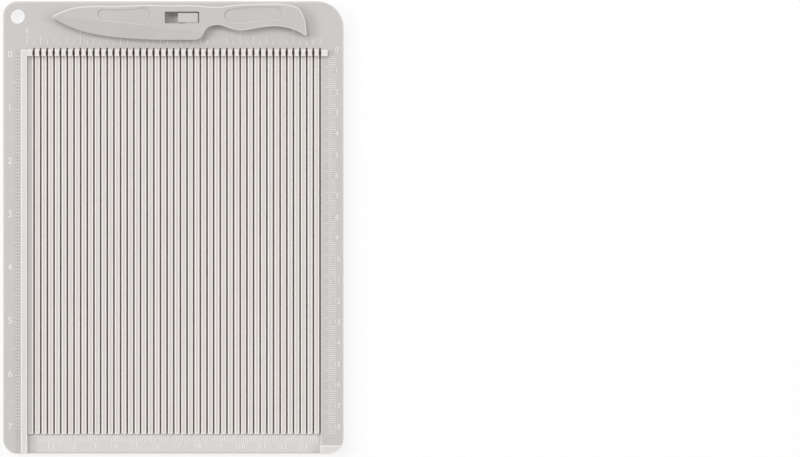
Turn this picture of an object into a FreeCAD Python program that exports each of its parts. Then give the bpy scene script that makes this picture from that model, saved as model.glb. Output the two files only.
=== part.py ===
import FreeCAD, Part
import math
import os

from FreeCAD import Vector

# Scoring board with its parked bone folder, in millimetres.
# The board lies flat with its grooved face up: +X runs to the right along the folder edge,
# +Y runs towards the folder edge, and +Z is up. The origin is under the middle of the board,
# at the height of the back guide rail's lowest face.

# Board outline
BOARD_WIDTH = 162.5
BOARD_HEIGHT = 216.0
RADIUS_TOP_LEFT = 6.8
RADIUS_TOP_RIGHT = 12.5
RADIUS_BOTTOM_RIGHT = 7.0
RADIUS_BOTTOM_LEFT = 7.0
RIM_RADIUS = 0.8

# Levels, from the lowest face upwards
BACK_RAIL_HEIGHT = 2.6
FLOOR_THICKNESS = 2.4
DECK_THICKNESS = 1.6
FRONT_RAIL_HEIGHT = 2.6
PLATE_BOTTOM = BACK_RAIL_HEIGHT
FLOOR_TOP = PLATE_BOTTOM + FLOOR_THICKNESS
DECK_TOP = FLOOR_TOP + DECK_THICKNESS
RAIL_TOP = DECK_TOP + FRONT_RAIL_HEIGHT

# Scoring deck: grooves at every eighth of an inch, across five and a half inches
PITCH = 25.4 / 8
GROOVE_COUNT = 44
GROOVE_WIDTH = 0.65
SCALE_ZERO = 11.7
GROOVE_START = 22.4
BARS_START = GROOVE_START + GROOVE_WIDTH / 2
GROOVE_END = 206.7
BAR_EDGE_RADIUS = 0.65
BAR_END_RADIUS = 0.75
LAST_GROOVE = SCALE_ZERO + GROOVE_COUNT * PITCH

# Guide rails on the front
RAIL_WIDTH = 2.95
RAIL_START = 23.3
RAIL_EDGE_RADIUS = 0.45
TOP_RAIL_END = 155.0
RAIL_NOTCH_DEPTH = 0.25
RAIL_BLOCK_RADIUS = 0.3
FOOT_LENGTH = 4.0
FOOT_INSET = 0.3

# Guide rail on the back
BACK_RAIL_FROM = 21.8
BACK_RAIL_TO = 25.2
BACK_RAIL_START = 39.7
BACK_STUB_END = 8.7

# Hanging hole, and the latch that holds the folder
HANG_HOLE = (6.9, 7.2)
HANG_HOLE_RADIUS = 3.5
HOOK_LEFT = 83.8
HOOK_RIGHT = 93.2
HOOK_NEAR = 5.8
HOOK_FAR = 10.5
HOOK_POST = 2.9
HOOK_HEIGHT = 4.6
HOOK_ARM_THICKNESS = 1.8
HOOK_CORNER_RADIUS = 0.6
HOOK_EDGE_RADIUS = 0.35

# Bone folder
FOLDER_THICKNESS = 5.0
FOLDER_EDGE_RADIUS = 0.9
FOLDER_GAP = 0.05
WINDOW = (77.5, 93.9, 5.2, 10.8)
WINDOW_CORNER = 0.5
TIP_RADIUS = 1.0
BEAK_RADIUS = 0.9
RIDGE_START = (23.3, 7.2)
RIDGE_END = (92.7, 14.8)
BEVEL_ANGLE = 14.0
GRIP_DEPTH = 0.6
GRIP_RIM_RADIUS = 0.3

# Shallow work on the back face
STENCIL_DEPTH = 0.5
STENCIL_LINE = 0.8
DIAGONAL_OFFSET = 19.0
DIAGONAL_WIDTH = 1.0
DIAGONAL_DEPTH = 0.9
FINGER_RECESS = (62.5, 10.7)
FINGER_RECESS_RADIUS = 7.0
FINGER_RECESS_DEPTH = 0.7

# Printed tables on the back: top from the left edge, last row and row pitch of each, and the
# columns as spans from the folder edge
TABLES = [(7.4, 12, 4.6), (71.8, 13, 4.4)]
TABLE_COLUMNS = [(156.5, 180.2), (182.0, 199.0), (200.2, 211.5)]
HEADER_HEIGHT = 7.0
FIRST_ROW_OFFSET = 3.4
ROW_GAP = 0.8
INK_THICKNESS = 0.1

# Two places nearer than this are the same place
TOUCH = 1e-4


def at(x, y, z=0.0):
    """A point x from the board's left edge and y below its folder edge."""
    return Vector(x - BOARD_WIDTH / 2, BOARD_HEIGHT / 2 - y, z)


def block(x0, x1, y0, y1, z0, z1):
    """An upright block between two distances from the left edge and from the folder edge."""
    return Part.makeBox(x1 - x0, y1 - y0, z1 - z0, at(x0, y1, z0))


def arc_corner(before, corner, after, radius):
    """The two tangent points and the middle of the arc that rounds a corner."""
    a = (before - corner).normalize()
    b = (after - corner).normalize()
    half = a.getAngle(b) / 2
    start = corner + a * (radius / math.tan(half))
    end = corner + b * (radius / math.tan(half))
    middle = corner + (a + b).normalize() * (radius / math.sin(half) - radius)
    return start, middle, end


def rounded_polygon(points, radii):
    """A closed face whose corners are rounded, each by its own radius."""
    count = len(points)
    corners = [arc_corner(points[i - 1], points[i], points[(i + 1) % count], radii[i]) for i in range(count)]
    edges = []
    for i, (start, middle, end) in enumerate(corners):
        following = corners[(i + 1) % count][0]
        edges.append(Part.Arc(start, middle, end).toShape())
        edges.append(Part.LineSegment(end, following).toShape())
    return Part.Face(Part.Wire(edges))


def board_outline(z, inset=0.0):
    """The board's outline at height z, drawn in by inset all round."""
    points = [
        at(inset, inset, z),
        at(BOARD_WIDTH - inset, inset, z),
        at(BOARD_WIDTH - inset, BOARD_HEIGHT - inset, z),
        at(inset, BOARD_HEIGHT - inset, z),
    ]
    radii = [RADIUS_TOP_LEFT, RADIUS_TOP_RIGHT, RADIUS_BOTTOM_RIGHT, RADIUS_BOTTOM_LEFT]
    return rounded_polygon(points, [r - inset for r in radii])


def edges_at(shape, z):
    """The edges of a shape that lie wholly at height z."""
    return [e for e in shape.Edges if max(abs(e.BoundBox.ZMin - z), abs(e.BoundBox.ZMax - z)) < TOUCH]


def upright_edges(shape):
    """The edges of a shape that run straight up."""
    boxes = [(e, e.BoundBox) for e in shape.Edges]
    return [e for e, box in boxes if box.ZLength > 0.5 and box.DiagonalLength - box.ZLength < TOUCH]


def hanging_hole():
    """The cylinder that the hanging hole removes."""
    return Part.makeCylinder(HANG_HOLE_RADIUS, 20, at(HANG_HOLE[0], HANG_HOLE[1], -5))


def core_hole():
    """The through hole under the latch hook's arm, as long and as wide as the arm."""
    return block(HOOK_LEFT + HOOK_POST, HOOK_RIGHT, HOOK_NEAR, HOOK_FAR, -5, 15)


# Shapes drawn on the back. A motif is drawn upright in its own plane, with a to the right and
# b up, and is then laid on the back face, where it reads with the folder edge on its left.


def on_back(u, v, a=0.0, b=0.0):
    """The back-face point of a motif centred u from the folder edge and v from the left edge."""
    return at(v - b, u + a, PLATE_BOTTOM)


def cut_prism(face):
    """A shallow pocket in the back face, over the given face."""
    return face.extrude(Vector(0, 0, STENCIL_DEPTH))


def polygon_pocket(u, v, points):
    """A pocket whose outline is a closed polygon."""
    corners = [on_back(u, v, a, b) for a, b in points]
    return cut_prism(Part.Face(Part.makePolygon(corners + corners[:1])))


def disc_pocket(u, v, a, b, radius):
    """A round pocket."""
    return cut_prism(Part.Face(Part.Wire(Part.makeCircle(radius, on_back(u, v, a, b)))))


def oval_pocket(u, v, a, b, half_width, half_height, turn=0.0):
    """An oval pocket, turned by an angle in degrees."""
    middle = on_back(u, v, a, b)
    wide = max(half_width, half_height)
    narrow = min(half_width, half_height)
    ellipse = Part.Ellipse(Vector(0, 0, 0), wide, narrow)
    face = Part.Face(Part.Wire(ellipse.toShape()))
    lie_along_x = 0.0 if half_height >= half_width else 90.0
    face.rotate(Vector(0, 0, 0), Vector(0, 0, 1), lie_along_x + turn)
    face.translate(middle)
    return cut_prism(face)


def ring_pocket(u, v, a, b, radius, line=STENCIL_LINE):
    """A circular line."""
    outer = disc_pocket(u, v, a, b, radius + line / 2)
    return outer.cut(disc_pocket(u, v, a, b, radius - line / 2))


def line_pocket(u, v, start, end, line=STENCIL_LINE):
    """A straight line with round ends."""
    p, q = on_back(u, v, *start), on_back(u, v, *end)
    along = (q - p).normalize()
    side = Vector(-along.y, along.x, 0) * (line / 2)
    edges = [
        Part.LineSegment(p + side, q + side).toShape(),
        Part.Arc(q + side, q + along * (line / 2), q - side).toShape(),
        Part.LineSegment(q - side, p - side).toShape(),
        Part.Arc(p - side, p - along * (line / 2), p + side).toShape(),
    ]
    return cut_prism(Part.Face(Part.Wire(edges)))


def curve_pocket(u, v, points, line=STENCIL_LINE):
    """A bent line, as straight runs with round ends."""
    runs = [line_pocket(u, v, p, q, line) for p, q in zip(points, points[1:])]
    return runs[0].fuse(runs[1:])


def star_points(tips, outer, inner, stretch=1.0):
    """The corners of a star with its first tip up."""
    points = []
    for i in range(2 * tips):
        radius = outer if i % 2 == 0 else inner
        angle = math.pi / 2 + math.pi * i / tips
        points.append((radius * math.cos(angle), stretch * radius * math.sin(angle)))
    return points


def heart_points(width, steps=28):
    """The outline of a heart of the given width."""
    points = []
    for i in range(steps):
        t = 2 * math.pi * i / steps
        a = width / 2 * math.sin(t) ** 3
        b = width / 32 * (13 * math.cos(t) - 5 * math.cos(2 * t) - 2 * math.cos(3 * t) - math.cos(4 * t))
        points.append((a, b))
    return points


def tree():
    """A fir tree of three tiers on a short trunk."""
    tiers = [(0.0, 11.0, 4.2), (-7.0, 5.5, 7.0), (-13.5, -1.0, 10.2)]
    pockets = [polygon_pocket(49.8, 83.0, [(-w, foot), (0, top), (w, foot)]) for foot, top, w in tiers]
    trunk = polygon_pocket(49.8, 83.0, [(-1.6, -14.2), (-1.6, -12), (1.6, -12), (1.6, -14.2)])
    return pockets + [trunk]


def balloons():
    """Two balloons whose strings cross."""
    return [
        oval_pocket(60.0, 69.5, 0, 0, 4.5, 6.8),
        oval_pocket(69.5, 71.2, 0, 0, 4.6, 6.2),
        curve_pocket(60.0, 69.5, [(0, -7.4), (1.2, -14), (4.6, -20), (5.5, -27)]),
        curve_pocket(69.5, 71.2, [(0, -7.0), (-1.4, -12), (-4.8, -19), (-6.0, -25.5)]),
    ]


def lips():
    """A pair of lips, the upper one with a dip in its middle."""
    upper = [(-8.2, 0.5), (-3.2, 4.6), (0, 3.2), (3.2, 4.6), (8.2, 0.5), (0, 0.6)]
    lower = [(-6.6, -0.6), (-3.6, -3.8), (0, -4.8), (3.6, -3.8), (6.6, -0.6), (0, -0.4)]
    return [polygon_pocket(81.4, 88.6, upper), polygon_pocket(81.4, 88.6, lower)]


def flower():
    """Six petals round a button."""
    pockets = [disc_pocket(90.3, 104.9, 0, 0, 1.7)]
    for i in range(6):
        angle = math.radians(60 * i)
        pockets.append(disc_pocket(90.3, 104.9, 4.9 * math.cos(angle), 4.9 * math.sin(angle), 2.1))
    return pockets


def leaf_branch():
    """A stem with pairs of leaves."""
    pockets = [line_pocket(78.8, 115.5, (-4.8, 10.0), (4.8, -10.2))]
    for i in range(4):
        a, b = -3.6 + 2.2 * i, 7.4 - 4.6 * i
        pockets.append(oval_pocket(78.8, 115.5, a - 3.0, b - 0.4, 2.2, 0.9, 35))
        pockets.append(oval_pocket(78.8, 115.5, a + 3.2, b + 1.2, 2.2, 0.9, -55))
    return pockets


def rainbow():
    """Three quarter-circle lines with rays beyond them."""
    corner = block(100, 135.0, 40.3, 90, 0, 10)
    pockets = [ring_pocket(40.3, 135.0, 0, 0, radius, 1.0).common(corner) for radius in (17.0, 20.8, 24.4)]
    for i in range(6):
        angle = math.radians(12 + 14 * i)
        near, far = 27.5, 31.5
        side = 1.1
        across = (-math.sin(angle) * side, math.cos(angle) * side)
        foot = (near * math.cos(angle), near * math.sin(angle))
        tip = (far * math.cos(angle), far * math.sin(angle))
        ray = [(foot[0] + across[0], foot[1] + across[1]), tip, (foot[0] - across[0], foot[1] - across[1])]
        pockets.append(polygon_pocket(40.3, 135.0, ray))
    return pockets


def cloud():
    """A cloud of four puffs, with two smaller dots beside it."""
    puffs = [(-6.0, -1.6, 3.6), (-1.2, 1.6, 4.4), (4.6, -0.4, 4.4), (8.0, -2.6, 2.4)]
    discs = [disc_pocket(61.0, 143.0, a, b, radius) for a, b, radius in puffs]
    shape = discs[0].fuse(discs[1:])
    return [shape, disc_pocket(47.6, 150.6, 0, 0, 1.8), disc_pocket(43.7, 153.8, 0, 0, 1.0)]


def rattle():
    """A ball, a bar and a ring in a row."""
    return [
        disc_pocket(48.8, 127.5, 0, 0, 3.4),
        line_pocket(47.0, 133.0, (-6.4, 2.2), (6.4, -2.2), 1.6),
        ring_pocket(46.0, 138.6, 0, 0, 3.2, 1.1),
    ]


def paw():
    """A paw print: one pad and four toes."""
    toes = [(-4.6, 2.2), (-1.8, 5.6), (2.4, 5.8), (5.4, 2.8)]
    pad = [oval_pocket(86.3, 139.6, 0, -1.6, 4.2, 3.2)]
    return pad + [oval_pocket(86.3, 139.6, a, b, 1.3, 1.8) for a, b in toes]


def bubble():
    """A speech bubble's outline with a heart in it."""

    def shape(grow):
        body = [on_back(107.0, 119.6, a, b) for a, b in [(-11, 7.5), (11, 7.5), (11, -7.5), (-11, -7.5)]]
        face = rounded_polygon(body, [2.5] * 4)
        solid = face.makeOffset2D(grow).extrude(Vector(0, 0, STENCIL_DEPTH))
        tail = polygon_pocket(107.0, 119.6, [(-7 - grow, -6), (-4.6, -11.4 - 2 * grow), (-0.5 + grow, -6)])
        return solid.fuse(tail)

    outline = shape(STENCIL_LINE / 2).cut(shape(-STENCIL_LINE / 2))
    return [outline, polygon_pocket(107.0, 119.2, heart_points(11.5))]


def bow():
    """A ribbon bow: two loops, a knot and two tails."""
    pockets = [oval_pocket(114.5, 136.3, 0, 0, 1.6, 2.0)]
    for side in (-1, 1):
        loop = [(2.4 * side, 1.2), (8.2 * side, 4.0), (8.8 * side, 0), (8.2 * side, -4.0), (2.4 * side, -1.2)]
        tail = [(1.0 * side, -2.6), (2.8 * side, -2.4), (6.4 * side, -8.8), (3.6 * side, -9.2)]
        pockets.append(polygon_pocket(114.5, 136.3, loop))
        pockets.append(polygon_pocket(114.5, 136.3, tail))
    return pockets


def flourish():
    """A long ornamental line with a curl at each end and a drop in the middle."""
    pockets = [disc_pocket(115.0, 153.2, 0, 0, 1.0)]
    for side in (-1, 1):
        line = [(0, -1.6), (8, 0), (18, -1.2), (28, -0.6), (35, 1.4), (37.4, 3.4), (36, 4.8), (34.4, 3.6)]
        pockets.append(curve_pocket(115.0, 148.6, [(a * side, b) for a, b in line]))
    return pockets


def stencil_pockets():
    """Every shallow motif and guide line in the back face."""
    pockets = [
        polygon_pocket(47.6, 50.0, star_points(4, 4.7, 1.4, 1.12)),
        polygon_pocket(47.2, 63.2, star_points(5, 4.9, 2.1)),
        line_pocket(38.0, 27.0, (0, 0), (0, -129.0), 0.5),
        line_pocket(38.6, 157.7, (0, 0), (137.0, 0), 0.5),
    ]
    motifs = (tree, balloons, lips, flower, leaf_branch, rainbow, cloud, rattle, paw, bubble, bow, flourish)
    for motif in motifs:
        pockets.extend(motif())
    return pockets


def diagonal_slot(width, z0, z1):
    """The 45 degree strip in which the diagonal scoring groove runs."""
    length = 260.0
    strip = Part.makeBox(length, width, z1 - z0, Vector(0, -width / 2, z0))
    strip.rotate(Vector(0, 0, 0), Vector(0, 0, 1), -45)
    strip.translate(at(0, DIAGONAL_OFFSET))
    lead_in = strip.copy()
    lead_in.translate(Vector(-5, 5, 0))
    return strip.fuse(lead_in)


def base_plate():
    """The full floor of the board, with the stencils and the diagonal groove in its back."""
    plate = board_outline(PLATE_BOTTOM).extrude(Vector(0, 0, FLOOR_THICKNESS))
    plate = plate.makeFillet(RIM_RADIUS, edges_at(plate, PLATE_BOTTOM))
    lip_y, lip_z = BOARD_HEIGHT - RIM_RADIUS, FLOOR_TOP - RIM_RADIUS
    lip = block(SCALE_ZERO, LAST_GROOVE, lip_y, BOARD_HEIGHT + 1, lip_z, FLOOR_TOP + 1)
    lip_start = at(SCALE_ZERO, lip_y, lip_z)
    roller = Part.makeCylinder(RIM_RADIUS, LAST_GROOVE - SCALE_ZERO, lip_start, Vector(1, 0, 0))
    recess = Part.makeCylinder(FINGER_RECESS_RADIUS, FINGER_RECESS_DEPTH, on_back(*FINGER_RECESS))
    groove = diagonal_slot(DIAGONAL_WIDTH, PLATE_BOTTOM - 1, PLATE_BOTTOM + DIAGONAL_DEPTH)
    tools = [lip.cut(roller), recess, groove, hanging_hole(), core_hole()]
    return plate.cut(tools + stencil_pockets())


def deck():
    """The whole upper layer of the board before the grooved field is taken out of it."""
    layer = board_outline(FLOOR_TOP).extrude(Vector(0, 0, DECK_THICKNESS))
    return layer.makeFillet(RIM_RADIUS, edges_at(layer, DECK_TOP))


def top_margin():
    """The plain strip that the folder is parked on, with the round head of every groove in its edge."""
    strip = deck().common(block(0, BOARD_WIDTH, 0, BARS_START, FLOOR_TOP, DECK_TOP))
    heads = []
    for i in range(1, GROOVE_COUNT + 1):
        middle = at(SCALE_ZERO + i * PITCH, BARS_START, FLOOR_TOP)
        heads.append(Part.makeCylinder(GROOVE_WIDTH / 2, DECK_THICKNESS, middle))
    strip = strip.cut(heads)
    head_edges = [e for e in edges_at(strip, DECK_TOP) if e.Length < math.pi * GROOVE_WIDTH / 2 + TOUCH]
    strip = strip.makeFillet(BAR_EDGE_RADIUS, head_edges)
    return strip.cut([hanging_hole(), core_hole()])


def left_margin():
    """The strip under and outside the left guide rail."""
    return deck().common(block(0, SCALE_ZERO, BARS_START, BOARD_HEIGHT, FLOOR_TOP, DECK_TOP))


def right_margin():
    """The strip on the right of the last groove, rounded along the groove."""
    left = LAST_GROOVE + GROOVE_WIDTH / 2
    strip = deck().common(block(left, BOARD_WIDTH, BARS_START, BOARD_HEIGHT, FLOOR_TOP, DECK_TOP))
    inner = [e for e in edges_at(strip, DECK_TOP) if abs(e.BoundBox.XMax - at(left, 0).x) < TOUCH]
    return strip.makeFillet(BAR_EDGE_RADIUS, inner)


def scoring_bar(left, right):
    """One land between two grooves, with rounded edges and a rounded free end."""
    bar = block(left, right, BARS_START, GROOVE_END, FLOOR_TOP, DECK_TOP)
    free_end = at(0, GROOVE_END).y
    corners = [e for e in upright_edges(bar) if abs(e.BoundBox.YMin - free_end) < TOUCH]
    bar = bar.makeFillet(BAR_END_RADIUS, corners)
    joined_end = at(0, BARS_START).y
    rounded = [e for e in edges_at(bar, DECK_TOP) if e.BoundBox.YMin < joined_end - TOUCH]
    return bar.makeFillet(BAR_EDGE_RADIUS, rounded)


def bar_span(i):
    """The left and right sides of bar i; the first one starts at the left guide rail."""
    left = SCALE_ZERO if i == 0 else SCALE_ZERO + i * PITCH + GROOVE_WIDTH / 2
    right = SCALE_ZERO + (i + 1) * PITCH - GROOVE_WIDTH / 2
    return left, right


def scoring_bars():
    """All the lands, side by side."""
    bars = [scoring_bar(*bar_span(0))]
    pattern = scoring_bar(*bar_span(1))
    for i in range(1, GROOVE_COUNT):
        bar = pattern.copy()
        bar.translate(Vector((i - 1) * PITCH, 0, 0))
        bars.append(bar)
    return Part.makeCompound(bars)


def left_guide_rail():
    """The raised bar that paper is squared against, flush with the bottom edge."""
    left = SCALE_ZERO - RAIL_WIDTH
    rail = block(left, SCALE_ZERO, RAIL_START, BOARD_HEIGHT - FOOT_INSET, DECK_TOP, RAIL_TOP)
    return rail.makeFillet(RAIL_EDGE_RADIUS, edges_at(rail, RAIL_TOP) + upright_edges(rail))


def rail_segment(left, right, notch_left, notch_right):
    """One block of the top guide rail; a notched side is hollowed where a groove passes."""
    y0, y1 = RAIL_START, RAIL_START + RAIL_WIDTH
    middle = (y0 + y1) / 2
    a, b = at(left, y0, DECK_TOP), at(right, y0, DECK_TOP)
    c, d = at(right, y1, DECK_TOP), at(left, y1, DECK_TOP)
    right_side = Part.LineSegment(b, c)
    if notch_right:
        right_side = Part.Arc(b, at(right - RAIL_NOTCH_DEPTH, middle, DECK_TOP), c)
    left_side = Part.LineSegment(d, a)
    if notch_left:
        left_side = Part.Arc(d, at(left + RAIL_NOTCH_DEPTH, middle, DECK_TOP), a)
    sides = [Part.LineSegment(a, b), right_side, Part.LineSegment(c, d), left_side]
    segment = Part.Face(Part.Wire([s.toShape() for s in sides])).extrude(Vector(0, 0, FRONT_RAIL_HEIGHT))
    return segment.makeFillet(RAIL_BLOCK_RADIUS, edges_at(segment, RAIL_TOP))


def top_guide_rail():
    """The raised bar across the board, cut into blocks by the grooves."""
    first_left, first_right = bar_span(0)
    segments = [rail_segment(first_left, first_right, False, True)]
    pattern = rail_segment(*bar_span(1), True, True)
    for i in range(1, GROOVE_COUNT):
        segment = pattern.copy()
        segment.translate(Vector((i - 1) * PITCH, 0, 0))
        segments.append(segment)
    segments.append(rail_segment(LAST_GROOVE + GROOVE_WIDTH / 2, TOP_RAIL_END, True, False))
    return Part.makeCompound(segments)


def corner_foot():
    """The block in the bottom right corner that keeps the board level when it lies face down."""
    left, near = LAST_GROOVE + GROOVE_WIDTH / 2, BOARD_HEIGHT - FOOT_LENGTH
    outline = board_outline(DECK_TOP, FOOT_INSET).extrude(Vector(0, 0, FRONT_RAIL_HEIGHT))
    foot = outline.common(block(left, BOARD_WIDTH, near, BOARD_HEIGHT, DECK_TOP, RAIL_TOP))
    return foot.makeFillet(RAIL_EDGE_RADIUS, edges_at(foot, RAIL_TOP))


def back_guide_rail():
    """The long bar on the back, and the stub that the diagonal groove cuts in two."""
    rail = block(BACK_RAIL_START, BOARD_WIDTH, BACK_RAIL_FROM, BACK_RAIL_TO, 0, PLATE_BOTTOM)
    rail = rail.makeFillet(RAIL_EDGE_RADIUS, edges_at(rail, 0) + upright_edges(rail))
    stub = block(0, BACK_STUB_END, BACK_RAIL_FROM, BACK_RAIL_TO, 0, PLATE_BOTTOM)
    stub = stub.makeFillet(RAIL_EDGE_RADIUS, edges_at(stub, 0) + upright_edges(stub))
    stub = stub.cut(diagonal_slot(1.6 * DIAGONAL_WIDTH, -1, PLATE_BOTTOM + 1))
    return Part.makeCompound([rail] + stub.Solids)


def latch_hook():
    """The L-shaped hook that passes through the folder's window."""
    top = DECK_TOP + HOOK_HEIGHT
    post = block(HOOK_LEFT, HOOK_LEFT + HOOK_POST, HOOK_NEAR, HOOK_FAR, DECK_TOP, top)
    arm = block(HOOK_LEFT, HOOK_RIGHT, HOOK_NEAR, HOOK_FAR, top - HOOK_ARM_THICKNESS, top)
    hook = post.fuse(arm).removeSplitter()
    hook = hook.makeFillet(HOOK_CORNER_RADIUS, upright_edges(hook))
    return hook.makeFillet(HOOK_EDGE_RADIUS, edges_at(hook, top))


def full_radius(before, corner, after):
    """The largest arc that a corner takes while leaving room for the arcs beside it."""
    a = before - corner
    b = after - corner
    return 0.47 * min(a.Length, b.Length) * math.tan(a.getAngle(b) / 2)


def soft_polygon(corners, sharp=()):
    """A closed face of long arcs inside a polygon; sharp gives the radius of a tight corner."""
    points = [at(x, y) for x, y in corners]
    count = len(points)
    radii = [full_radius(points[i - 1], points[i], points[(i + 1) % count]) for i in range(count)]
    for i, radius in sharp:
        radii[i] = radius
    return rounded_polygon(points, radii)


def raised(face, z, height):
    """An upright solid over a face, from height z."""
    solid = face.extrude(Vector(0, 0, height))
    solid.translate(Vector(0, 0, z))
    return solid


def folder_outline():
    """The folder's outline: a pointed blade, a waisted handle and a beaked heel."""
    tip = [(22.9, 7.55), (33, 3), (45, 2.3), (54, 2.5)]
    spine = [(68, 1.8), (80, 2.2), (90, 2), (103, 3.1), (112, 1.6)]
    heel = [(133, 1.2), (141.5, 2.8), (144.6, 9), (144.9, 13.6), (145.7, 17.7), (139.5, 13.6)]
    belly = [(131, 11.9), (122, 12.9), (113, 14.8), (103, 11.2), (97.2, 12.6), (94.9, 18.6)]
    edge = [(86, 18.6), (68.9, 18.5), (51, 17.2), (38, 14.6), (30, 11.4)]
    corners = tip + spine + heel + belly + edge
    beak_corner = len(tip) + len(spine) + 4
    return soft_polygon(corners, [(0, TIP_RADIUS), (beak_corner, BEAK_RADIUS)])


def blade_bevel(top):
    """What the slope along the blade's scoring edge removes, below the ridge line."""
    start = at(*RIDGE_START, top)
    end = at(*RIDGE_END, top)
    along = (end - start).normalize()
    wedge = Part.makeBox(200, 40, 20, Vector(-20, -40, 0))
    wedge.rotate(Vector(0, 0, 0), Vector(1, 0, 0), BEVEL_ANGLE)
    wedge.rotate(Vector(0, 0, 0), Vector(0, 0, 1), math.degrees(math.atan2(along.y, along.x)))
    wedge.translate(start)
    return wedge


def grips(top):
    """The thumb recess on the blade side and the palm recess on the heel side."""
    thumb = soft_polygon([(45.4, 3.9), (59, 4.5), (71.3, 2.6), (70.3, 11.8), (58, 9.9), (45.6, 9)])
    palm_spine = [(105.7, 4.6), (113, 3.4), (123, 2.7), (134, 3.3)]
    palm_belly = [(133.2, 8.8), (123, 9.2), (113, 10.8), (106.1, 10.2)]
    palm = soft_polygon(palm_spine + palm_belly)
    return [raised(face, top - GRIP_DEPTH, 2 * GRIP_DEPTH) for face in (thumb, palm)]


def bone_folder():
    """The scoring and creasing tool, parked over the latch hook."""
    low = DECK_TOP + FOLDER_GAP
    top = low + FOLDER_THICKNESS
    folder = raised(folder_outline(), low, FOLDER_THICKNESS)
    folder = folder.makeFillet(FOLDER_EDGE_RADIUS, edges_at(folder, top))
    rims = len(edges_at(folder, top))
    folder = folder.cut(grips(top))
    folder = folder.makeFillet(GRIP_RIM_RADIUS, edges_at(folder, top)[rims:])
    x0, x1, y0, y1 = WINDOW
    corners = [at(x0, y0), at(x1, y0), at(x1, y1), at(x0, y1)]
    window = raised(rounded_polygon(corners, [WINDOW_CORNER] * 4), low - 1, FOLDER_THICKNESS + 2)
    return folder.cut([window, blade_bevel(top)])


def printed_tables():
    """The two printed size tables on the back: a header, then every other row as a bar of ink."""
    pads = []
    for table_top, last_row, pitch in TABLES:
        bars = [(table_top, HEADER_HEIGHT)]
        for row in range(2, last_row + 1, 2):
            bars.append((table_top + FIRST_ROW_OFFSET + row * pitch, pitch - ROW_GAP))
        for top, height in bars:
            for left, right in TABLE_COLUMNS:
                pads.append(block(top, top + height, left, right, PLATE_BOTTOM - INK_THICKNESS, PLATE_BOTTOM))
    return Part.makeCompound(pads)


NODES = {
    "base_plate": base_plate,
    "top_margin": top_margin,
    "left_margin": left_margin,
    "right_margin": right_margin,
    "scoring_bars": scoring_bars,
    "left_guide_rail": left_guide_rail,
    "top_guide_rail": top_guide_rail,
    "corner_foot": corner_foot,
    "back_guide_rail": back_guide_rail,
    "latch_hook": latch_hook,
    "bone_folder": bone_folder,
    "printed_tables": printed_tables,
}

os.makedirs("parts", exist_ok=True)
for name, make in NODES.items():
    shape = make()
    if not shape.isValid():
        raise RuntimeError(name + " is not a valid shape")
    shape.exportStep("parts/" + name + ".step")
    box = shape.BoundBox
    print(name, len(shape.Solids), "solids", round(shape.Volume, 1), "mm3",
          [round(value, 2) for value in (box.XMin, box.YMin, box.ZMin, box.XMax, box.YMax, box.ZMax)])
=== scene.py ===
import bmesh
import bpy
import math
from mathutils import Matrix, Vector


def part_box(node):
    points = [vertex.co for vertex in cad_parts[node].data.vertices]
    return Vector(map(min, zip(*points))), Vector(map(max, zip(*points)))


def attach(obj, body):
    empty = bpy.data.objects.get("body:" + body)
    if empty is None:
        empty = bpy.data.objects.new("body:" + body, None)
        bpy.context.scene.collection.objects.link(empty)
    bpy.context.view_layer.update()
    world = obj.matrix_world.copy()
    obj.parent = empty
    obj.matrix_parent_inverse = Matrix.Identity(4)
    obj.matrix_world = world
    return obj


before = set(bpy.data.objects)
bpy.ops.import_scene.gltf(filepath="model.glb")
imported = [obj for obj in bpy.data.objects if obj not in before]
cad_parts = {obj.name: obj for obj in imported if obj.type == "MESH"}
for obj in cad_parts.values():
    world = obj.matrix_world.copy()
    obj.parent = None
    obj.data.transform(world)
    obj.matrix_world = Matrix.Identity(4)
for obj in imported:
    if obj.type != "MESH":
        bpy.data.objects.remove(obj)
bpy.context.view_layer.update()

MM = 0.001
INCH = 25.4 * MM

# Faces of the frame that the shading and the marks are placed by
PLATE_LOW, PLATE_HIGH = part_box("base_plate")
LEFT, TOP = PLATE_LOW.x, PLATE_HIGH.y
BACK = PLATE_LOW.z
RECESS = PLATE_HIGH.z
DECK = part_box("top_margin")[1].z
LEFT_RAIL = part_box("left_guide_rail")[0].x
SCALE_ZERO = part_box("left_guide_rail")[1].x
TOP_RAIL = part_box("top_guide_rail")[0].y
RIGHT_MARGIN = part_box("right_margin")[0].x
BARS_LOW, BARS_HIGH = (corner.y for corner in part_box("scoring_bars"))

# ---------------------------------------------------------------- materials


def principled(name):
    """A new material, its node tree and its Principled shader."""
    material = bpy.data.materials.new(name)
    material.use_nodes = True
    return material, material.node_tree, material.node_tree.nodes["Principled BSDF"]


def mapped(tree, value, start, end, low=0.0, high=1.0):
    """Maps start..end onto low..high, holding the end values outside."""
    span = tree.nodes.new("ShaderNodeMapRange")
    span.inputs["From Min"].default_value = start
    span.inputs["From Max"].default_value = end
    span.inputs["To Min"].default_value = low
    span.inputs["To Max"].default_value = high
    tree.links.new(value, span.inputs["Value"])
    return span.outputs["Result"]


def noise(tree, scale, detail):
    """Object-space noise: one value per place on the object, in metres."""
    place = tree.nodes.new("ShaderNodeTexCoord")
    texture = tree.nodes.new("ShaderNodeTexNoise")
    texture.inputs["Scale"].default_value = scale
    texture.inputs["Detail"].default_value = detail
    tree.links.new(place.outputs["Object"], texture.inputs["Vector"])
    return texture.outputs["Fac"]


def spread(tree, value, low, high):
    """Maps the usual range of a noise value onto low..high."""
    return mapped(tree, value, 0.3, 0.7, low, high)


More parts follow.
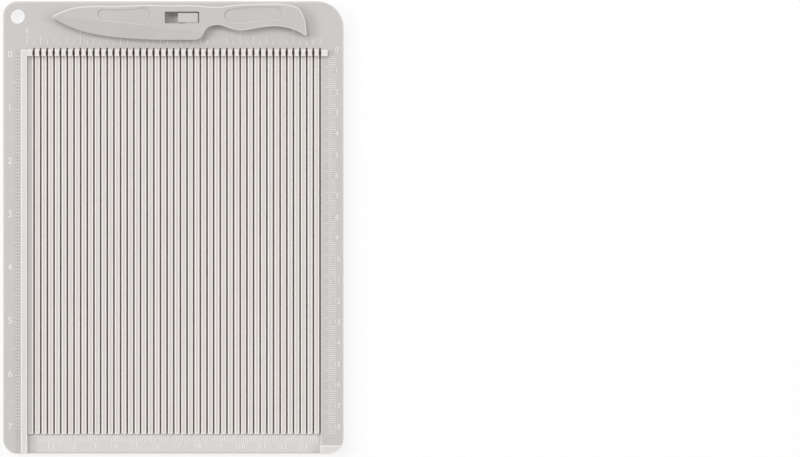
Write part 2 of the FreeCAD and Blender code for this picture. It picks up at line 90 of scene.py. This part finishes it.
def tinted(tree, value, colour, change):
    """A colour that drifts by the share change either way with value."""
    mix = tree.nodes.new("ShaderNodeMix")
    mix.data_type = "RGBA"
    mix.inputs["A"].default_value = (*[c * (1 - change) for c in colour], 1)
    mix.inputs["B"].default_value = (*[c * (1 + change) for c in colour], 1)
    tree.links.new(value, mix.inputs["Factor"])
    return mix.outputs["Result"]


def layered(tree, mask, under, over):
    """The colour under, covered by the fixed colour over where the mask is 1."""
    mix = tree.nodes.new("ShaderNodeMix")
    mix.data_type = "RGBA"
    mix.inputs["B"].default_value = (*over, 1)
    tree.links.new(mask, mix.inputs["Factor"])
    tree.links.new(under, mix.inputs["A"])
    return mix.outputs["Result"]


def part_of(tree, output, axis):
    """One component of a texture coordinate of the object."""
    place = tree.nodes.new("ShaderNodeTexCoord")
    parts = tree.nodes.new("ShaderNodeSeparateXYZ")
    tree.links.new(place.outputs[output], parts.inputs["Vector"])
    return parts.outputs[axis]


def lean(tree, axis):
    """How squarely a face looks along an axis, either way: 1 when square to it, 0 when alongside."""
    size = tree.nodes.new("ShaderNodeMath")
    size.operation = "ABSOLUTE"
    tree.links.new(part_of(tree, "Normal", axis), size.inputs[0])
    return size.outputs["Value"]


def inside(tree, mask, limits):
    """The mask, cut off outside the limits: (axis, low, high) on the object."""
    for axis, low, high in limits:
        within = tree.nodes.new("ShaderNodeMath")
        within.operation = "COMPARE"
        within.inputs[1].default_value = (low + high) / 2
        within.inputs[2].default_value = (high - low) / 2
        tree.links.new(part_of(tree, "Object", axis), within.inputs[0])
        both = tree.nodes.new("ShaderNodeMath")
        both.operation = "MULTIPLY"
        tree.links.new(within.outputs["Value"], both.inputs[0])
        tree.links.new(mask, both.inputs[1])
        mask = both.outputs["Value"]
    return mask


def burnished(tree, crown, flat):
    """Where the painted highlight goes: 1 on rounded edges up to the lean called crown, 0 on upright faces
    and from the lean called flat.
    """
    ramp = tree.nodes.new("ShaderNodeValToRGB")
    stops = ramp.color_ramp.elements
    stops[0].position, stops[0].color = 0.3, (0, 0, 0, 1)
    stops[1].position, stops[1].color = flat, (0, 0, 0, 1)
    for position in (0.8, crown):
        stops.new(position).color = (1, 1, 1, 1)
    tree.links.new(lean(tree, "Z"), ramp.inputs["Fac"])
    return ramp.outputs["Color"]


def in_slots(tree):
    """1 on the sides of the slots that the grooves cut through the top rail, where their shade is painted.
    """
    sides = mapped(tree, lean(tree, "X"), 0.5, 0.9)
    return inside(tree, sides, [("X", SCALE_ZERO, RIGHT_MARGIN + 0.5 * MM)])


def in_grooves(tree):
    """1 deep inside the grooved field, fading to 0 just under the tops of its bars; the shade there is
    painted.
    """
    depth = mapped(tree, part_of(tree, "Object", "Z"), DECK - 0.12 * MM, DECK - 0.6 * MM)
    field = [
        ("X", SCALE_ZERO, RIGHT_MARGIN),
        ("Y", BARS_LOW + 0.5 * MM, BARS_HIGH + 0.4 * MM),
        ("Z", RECESS - 0.2 * MM, DECK),
    ]
    return inside(tree, depth, field)


# Painted shade: brown-grey colour laid deep in the grooves and on the slot sides of the top rail, where
# shade falls.
PAINTED_SHADE = (0.385, 0.315, 0.27)
# Painted highlights: pale colours laid on the rounded edges, for the light they catch.
PAINTED_EDGE_HIGHLIGHT = (0.97, 0.95, 0.925)
SOFT_PAINTED_HIGHLIGHT = (0.66, 0.635, 0.62)
FOLDER_PAINTED_HIGHLIGHT = (0.8, 0.78, 0.765)
MOTTLE_SCALE, MOTTLE_CHANGE = 55, 0.018
GLOSS_SCALE, GLOSS_CHANGE = 240, 0.05
GRAIN_SCALE, GRAIN_STRENGTH = 2600, 0.5


def moulded_plastic(name, colour, edge, roughness, grain, crown=0.975, flat=0.997, painted_shade_mask=in_grooves):
    """Satin moulded plastic: mottled, with a painted highlight on rounded edges, painted shade where
    asked, finely grained.
    """
    material, tree, shader = principled(name)
    mottle = spread(tree, noise(tree, MOTTLE_SCALE, 4), 0, 1)
    with_highlights = layered(tree, burnished(tree, crown, flat), tinted(tree, mottle, colour, MOTTLE_CHANGE), edge)
    tree.links.new(layered(tree, painted_shade_mask(tree), with_highlights, PAINTED_SHADE), shader.inputs["Base Color"])
    gloss = spread(tree, noise(tree, GLOSS_SCALE, 3), roughness - GLOSS_CHANGE, roughness + GLOSS_CHANGE)
    tree.links.new(gloss, shader.inputs["Roughness"])
    bump = tree.nodes.new("ShaderNodeBump")
    bump.inputs["Strength"].default_value = GRAIN_STRENGTH
    bump.inputs["Distance"].default_value = grain
    tree.links.new(noise(tree, GRAIN_SCALE, 3), bump.inputs["Height"])
    tree.links.new(bump.outputs["Normal"], shader.inputs["Normal"])
    shader.inputs["IOR"].default_value = 1.52
    shader.inputs["Specular IOR Level"].default_value = 0.28
    return material


def printing_ink(name, colour, roughness):
    """Matt pad-printing ink, slightly uneven in density."""
    material, tree, shader = principled(name)
    density = spread(tree, noise(tree, 900, 3), 0, 1)
    tree.links.new(tinted(tree, density, colour, 0.35), shader.inputs["Base Color"])
    shader.inputs["Roughness"].default_value = roughness
    return material


# The whole board is one moulding of one plastic: this is its own colour, and the paler plate, bar, rail
# and mark colours below are painted light.
board_plastic = moulded_plastic(
    "board_plastic", (0.593, 0.569, 0.558), SOFT_PAINTED_HIGHLIGHT, roughness=0.46, grain=0.012 * MM
)
# Painted light: the plate's top, the floor of the grooves and the strip under them, is painted paler than
# the board.
plate_painted_lighter = moulded_plastic(
    "plate_painted_lighter", (0.68, 0.66, 0.652), SOFT_PAINTED_HIGHLIGHT, roughness=0.46, grain=0.012 * MM
)
# Painted light: the tops of the bars are painted paler than the board.
bars_painted_lighter = moulded_plastic(
    "bars_painted_lighter", (0.655, 0.627, 0.607), PAINTED_EDGE_HIGHLIGHT, roughness=0.44, grain=0.01 * MM,
    crown=0.992, flat=0.9995
)
# Painted light: the rails are painted paler than the board.
rails_painted_lighter = moulded_plastic(
    "rails_painted_lighter", (0.73, 0.7, 0.68), PAINTED_EDGE_HIGHLIGHT, roughness=0.44, grain=0.01 * MM
)
# Painted light and shade: the top rail is painted paler still, with painted shade on the sides of its
# slots.
slotted_rail_painted_lighter_and_shaded = moulded_plastic(
    "slotted_rail_painted_lighter_and_shaded", (0.79, 0.757, 0.737), PAINTED_EDGE_HIGHLIGHT, roughness=0.44, grain=0.01 * MM,
    painted_shade_mask=in_slots
)
# Painted light: the raised ruler marks are painted much paler than the board.
marks_painted_lighter = moulded_plastic(
    "marks_painted_lighter", (0.9, 0.87, 0.85), PAINTED_EDGE_HIGHLIGHT, roughness=0.46, grain=0.006 * MM
)
# The folder's paler rounded edges are a painted highlight.
folder_plastic = moulded_plastic(
    "folder_plastic", (0.563, 0.545, 0.535), FOLDER_PAINTED_HIGHLIGHT, roughness=0.42, grain=0.008 * MM,
    crown=0.9, flat=0.955
)
ink = printing_ink("printing_ink", (0.018, 0.018, 0.02), roughness=0.55)

NODE_MATERIALS = {
    "base_plate": plate_painted_lighter,
    "scoring_bars": bars_painted_lighter,
    "top_guide_rail": slotted_rail_painted_lighter_and_shaded,
    "left_guide_rail": rails_painted_lighter,
    "corner_foot": rails_painted_lighter,
    "back_guide_rail": rails_painted_lighter,
    "bone_folder": folder_plastic,
    "printed_tables": ink,
}
for name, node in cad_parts.items():
    node.data.materials.clear()
    node.data.materials.append(NODE_MATERIALS.get(name, board_plastic))

# ---------------------------------------------------------------- ruler marks

MARK_HEIGHT = 0.18 * MM
MARK_SINK = 0.02 * MM
INCH_TICK_WIDTH = 0.3 * MM
MM_TICK_WIDTH = 0.26 * MM
BOLD_MM_TICK_WIDTH = 0.32 * MM
TICK_CREST = 0.55  # width of a tick's crest as a share of its foot
DIGIT_HEIGHT = 0.73  # height of a figure as a share of its font size


def add_tick(shape, start, end, z, width, up=1):
    """Adds a raised line with sloping sides from start to end, both (x, y), on the face at z."""
    along = (Vector(end) - Vector(start)).normalized()
    rings = []
    for share, rise in ((1.0, -MARK_SINK), (TICK_CREST, MARK_HEIGHT)):
        corners = []
        for point, inward in ((Vector(start), along), (Vector(end), -along)):
            tip = point + inward * (1 - share) * width / 2
            side = Vector((-inward.y, inward.x)) * share * width / 2
            corners += [tip + side, tip - side]
        rings.append([shape.verts.new((c.x, c.y, z + up * rise)) for c in corners])
    base, crest = rings
    shape.faces.new(base)
    shape.faces.new(reversed(crest))
    for i in range(4):
        j = (i + 1) % 4
        shape.faces.new((base[j], base[i], crest[i], crest[j]))


def tick_length(step, lengths):
    """The length that goes with the first divisor of step in lengths, which are in mm."""
    return next(length for divisor, length in lengths if step % divisor == 0) * MM


def add_numeral(shape, text, place, height, turn=0.0, up=1):
    """Adds raised figures, middle at place, tops towards +Y before the turn about Z."""
    letters = bpy.data.curves.new("figures", "FONT")
    letters.body = text
    letters.size = height / DIGIT_HEIGHT
    letters.align_x = "CENTER"
    letters.align_y = "CENTER"
    letters.extrude = (MARK_HEIGHT + MARK_SINK) / 2
    letters.resolution_u = 3
    holder = bpy.data.objects.new("figures", letters)
    figures = bpy.data.meshes.new_from_object(holder)
    lift = Matrix.Translation(Vector(place) + Vector((0, 0, up * (MARK_HEIGHT - MARK_SINK) / 2)))
    flip = Matrix.Rotation(0 if up > 0 else math.pi, 4, "Y")
    figures.transform(lift @ Matrix.Rotation(turn, 4, "Z") @ flip)
    shape.from_mesh(figures)
    bpy.data.meshes.remove(figures)
    bpy.data.objects.remove(holder)
    bpy.data.curves.remove(letters)


def finish_marks(shape, name):
    """Makes the collected marks one piece of the board moulding."""
    bmesh.ops.recalc_face_normals(shape, faces=shape.faces)
    mesh = bpy.data.meshes.new(name)
    shape.to_mesh(mesh)
    shape.free()
    mesh.materials.append(marks_painted_lighter)
    piece = bpy.data.objects.new(name, mesh)
    bpy.context.scene.collection.objects.link(piece)
    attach(piece, "board")


def top_inch_ruler():
    """Eighths of an inch above the top rail, with a figure over each whole inch."""
    shape = bmesh.new()
    foot = TOP - 20.9 * MM
    for eighth in range(45):
        x = SCALE_ZERO + eighth * INCH / 8
        length = tick_length(eighth, ((8, 4.5), (2, 4.0), (1, 2.2)))
        add_tick(shape, (x, foot), (x, foot + length), DECK, INCH_TICK_WIDTH)
        if eighth % 8 == 0:
            add_numeral(shape, str(eighth // 8), (x, TOP - 14.1 * MM, DECK), 2.4 * MM)
    finish_marks(shape, "top_inch_ruler")


def left_inch_ruler():
    """Sixteenths of an inch down the left rail, with a figure at each whole inch."""
    shape = bmesh.new()
    foot = LEFT_RAIL - 0.25 * MM
    for sixteenth in range(7 * 16 + 1):
        y = TOP_RAIL - sixteenth * INCH / 16
        length = tick_length(sixteenth, ((16, 3.0), (8, 3.6), (4, 2.6), (1, 2.1)))
        add_tick(shape, (foot, y), (foot - length, y), DECK, INCH_TICK_WIDTH)
        if sixteenth % 16 == 0:
            place = (LEFT + 3.4 * MM, y + 0.7 * MM, DECK)
            add_numeral(shape, str(sixteenth // 16), place, 3.3 * MM)
    finish_marks(shape, "left_inch_ruler")


def right_cm_ruler():
    """Millimetres down the right margin, with a figure at each centimetre."""
    shape = bmesh.new()
    for step in range(181):
        y = TOP_RAIL - step * MM
        start = LEFT + (153.6 if step % 5 == 0 else 155.2) * MM
        beside_figure = step % 10 in (6, 7, 8)
        end = LEFT + (157.4 if beside_figure else 159.1) * MM
        add_tick(shape, (start, y), (end, y), DECK, MM_TICK_WIDTH)
        if step % 10 == 0:
            place = (LEFT + 159.4 * MM, y + 3.0 * MM, DECK)
            add_numeral(shape, str(step // 10), place, 2.6 * MM)
    finish_marks(shape, "right_cm_ruler")


def bottom_cm_ruler():
    """Millimetres along the strip below the grooves, with a figure beside each centimetre."""
    shape = bmesh.new()
    head = TOP - 207.2 * MM
    for step in range(141):
        x = SCALE_ZERO + step * MM
        length = tick_length(step, ((10, 7.0), (5, 4.6), (1, 3.5)))
        add_tick(shape, (x, head), (x, head - length), RECESS, BOLD_MM_TICK_WIDTH)
        if step % 10 == 0:
            place = (x + 2.2 * MM, TOP - 212.6 * MM, RECESS)
            add_numeral(shape, str(step // 10), place, 2.7 * MM)
    finish_marks(shape, "bottom_cm_ruler")


def back_rulers():
    """Sixteenths of an inch and millimetres along the back rail, read with the folder edge to the left."""
    shape = bmesh.new()
    zero = LEFT + 15.2 * MM
    inch_foot = TOP - 21.0 * MM
    inch_figures = TOP - 13.1 * MM
    cm_foot = TOP - 25.5 * MM
    cm_figures = TOP - 31.3 * MM

    def add_figure(number, x, y, height):
        add_numeral(shape, str(number), (x, y, BACK), height, turn=math.pi / 2, up=-1)

    add_tick(shape, (zero, TOP - 21.8 * MM), (zero, TOP - 15.7 * MM), BACK, INCH_TICK_WIDTH, up=-1)
    add_figure(0, zero, inch_figures, 3.0 * MM)
    for sixteenth in range(16, 91):
        x = zero + sixteenth * INCH / 16
        length = tick_length(sixteenth, ((16, 5.3), (8, 4.2), (2, 3.2), (1, 2.2)))
        add_tick(shape, (x, inch_foot), (x, inch_foot + length), BACK, INCH_TICK_WIDTH, up=-1)
        if sixteenth % 16 == 0:
            add_figure(sixteenth // 16, x, inch_figures, 3.0 * MM)
    for step in range(25, 143):
        x = zero + step * MM
        length = tick_length(step, ((10, 4.0), (5, 3.2), (1, 2.5)))
        add_tick(shape, (x, cm_foot), (x, cm_foot - length), BACK, MM_TICK_WIDTH, up=-1)
        if step % 10 == 0:
            add_figure(step // 10, x, cm_figures, 2.4 * MM)
    finish_marks(shape, "back_rulers")


top_inch_ruler()
left_inch_ruler()
right_cm_ruler()
bottom_cm_ruler()
back_rulers()

# ---------------------------------------------------------------- stage

HALF_FLOOR = 8.0
FLOOR_ALBEDO = 0.25
FLOOR_GLOW = 0.73

floor_mesh = bpy.data.meshes.new("floor")
corners = [(-1, -1), (1, -1), (1, 1), (-1, 1)]
floor_mesh.from_pydata([(x * HALF_FLOOR, y * HALF_FLOOR, 0) for x, y in corners], [], [(0, 1, 2, 3)])
floor = bpy.data.objects.new("floor", floor_mesh)
bpy.context.scene.collection.objects.link(floor)
paper, _, paper_shader = principled("light_table")
paper_shader.inputs["Base Color"].default_value = (FLOOR_ALBEDO, FLOOR_ALBEDO, FLOOR_ALBEDO, 1)
paper_shader.inputs["Roughness"].default_value = 0.9
paper_shader.inputs["Emission Color"].default_value = (1, 1, 1, 1)
paper_shader.inputs["Emission Strength"].default_value = FLOOR_GLOW
floor_mesh.materials.append(paper)


def studio_dome(low, high, low_edge, high_edge):
    """A white dome, bright round the sides and dim overhead."""
    world = bpy.data.worlds.new("studio")
    bpy.context.scene.world = world
    world.use_nodes = True
    tree = world.node_tree
    background = tree.nodes["Background"]
    background.inputs["Color"].default_value = (1, 1, 1, 1)
    strength = mapped(tree, part_of(tree, "Generated", "Z"), low_edge, high_edge, low, high)
    strength.node.interpolation_type = "SMOOTHSTEP"
    tree.links.new(strength, background.inputs["Strength"])


def softbox(name, place, size, power):
    """A square lamp aimed at the board."""
    lamp = bpy.data.lights.new(name, "AREA")
    lamp.shape = "SQUARE"
    lamp.size = size
    lamp.energy = power
    holder = bpy.data.objects.new(name, lamp)
    bpy.context.scene.collection.objects.link(holder)
    holder.location = place
    holder.rotation_mode = "QUATERNION"
    holder.rotation_quaternion = (-Vector(place)).to_track_quat("-Z", "Y")


studio_dome(low=0.72, high=0.25, low_edge=0.6, high_edge=0.9)
softbox("key", (-0.9, 1.5, 2.9), size=1.3, power=30)
softbox("left_fill", (-2.1, 0.3, 1.9), size=1.1, power=20)
softbox("right_fill", (2.1, 0.3, 1.9), size=1.1, power=16)
bpy.context.scene.view_settings.view_transform = "Standard"

# ---------------------------------------------------------------- camera

VIEW_WIDTH = 381.9 * MM
VIEW_CENTRE = (108.3 * MM, -0.5 * MM)
CAMERA_HEIGHT = 2.0

camera = bpy.data.cameras.new("camera")
camera.lens = camera.sensor_width * CAMERA_HEIGHT / VIEW_WIDTH
camera_holder = bpy.data.objects.new("camera", camera)
camera_holder.location = (*VIEW_CENTRE, DECK + CAMERA_HEIGHT)
bpy.context.scene.collection.objects.link(camera_holder)
bpy.context.scene.camera = camera_holder
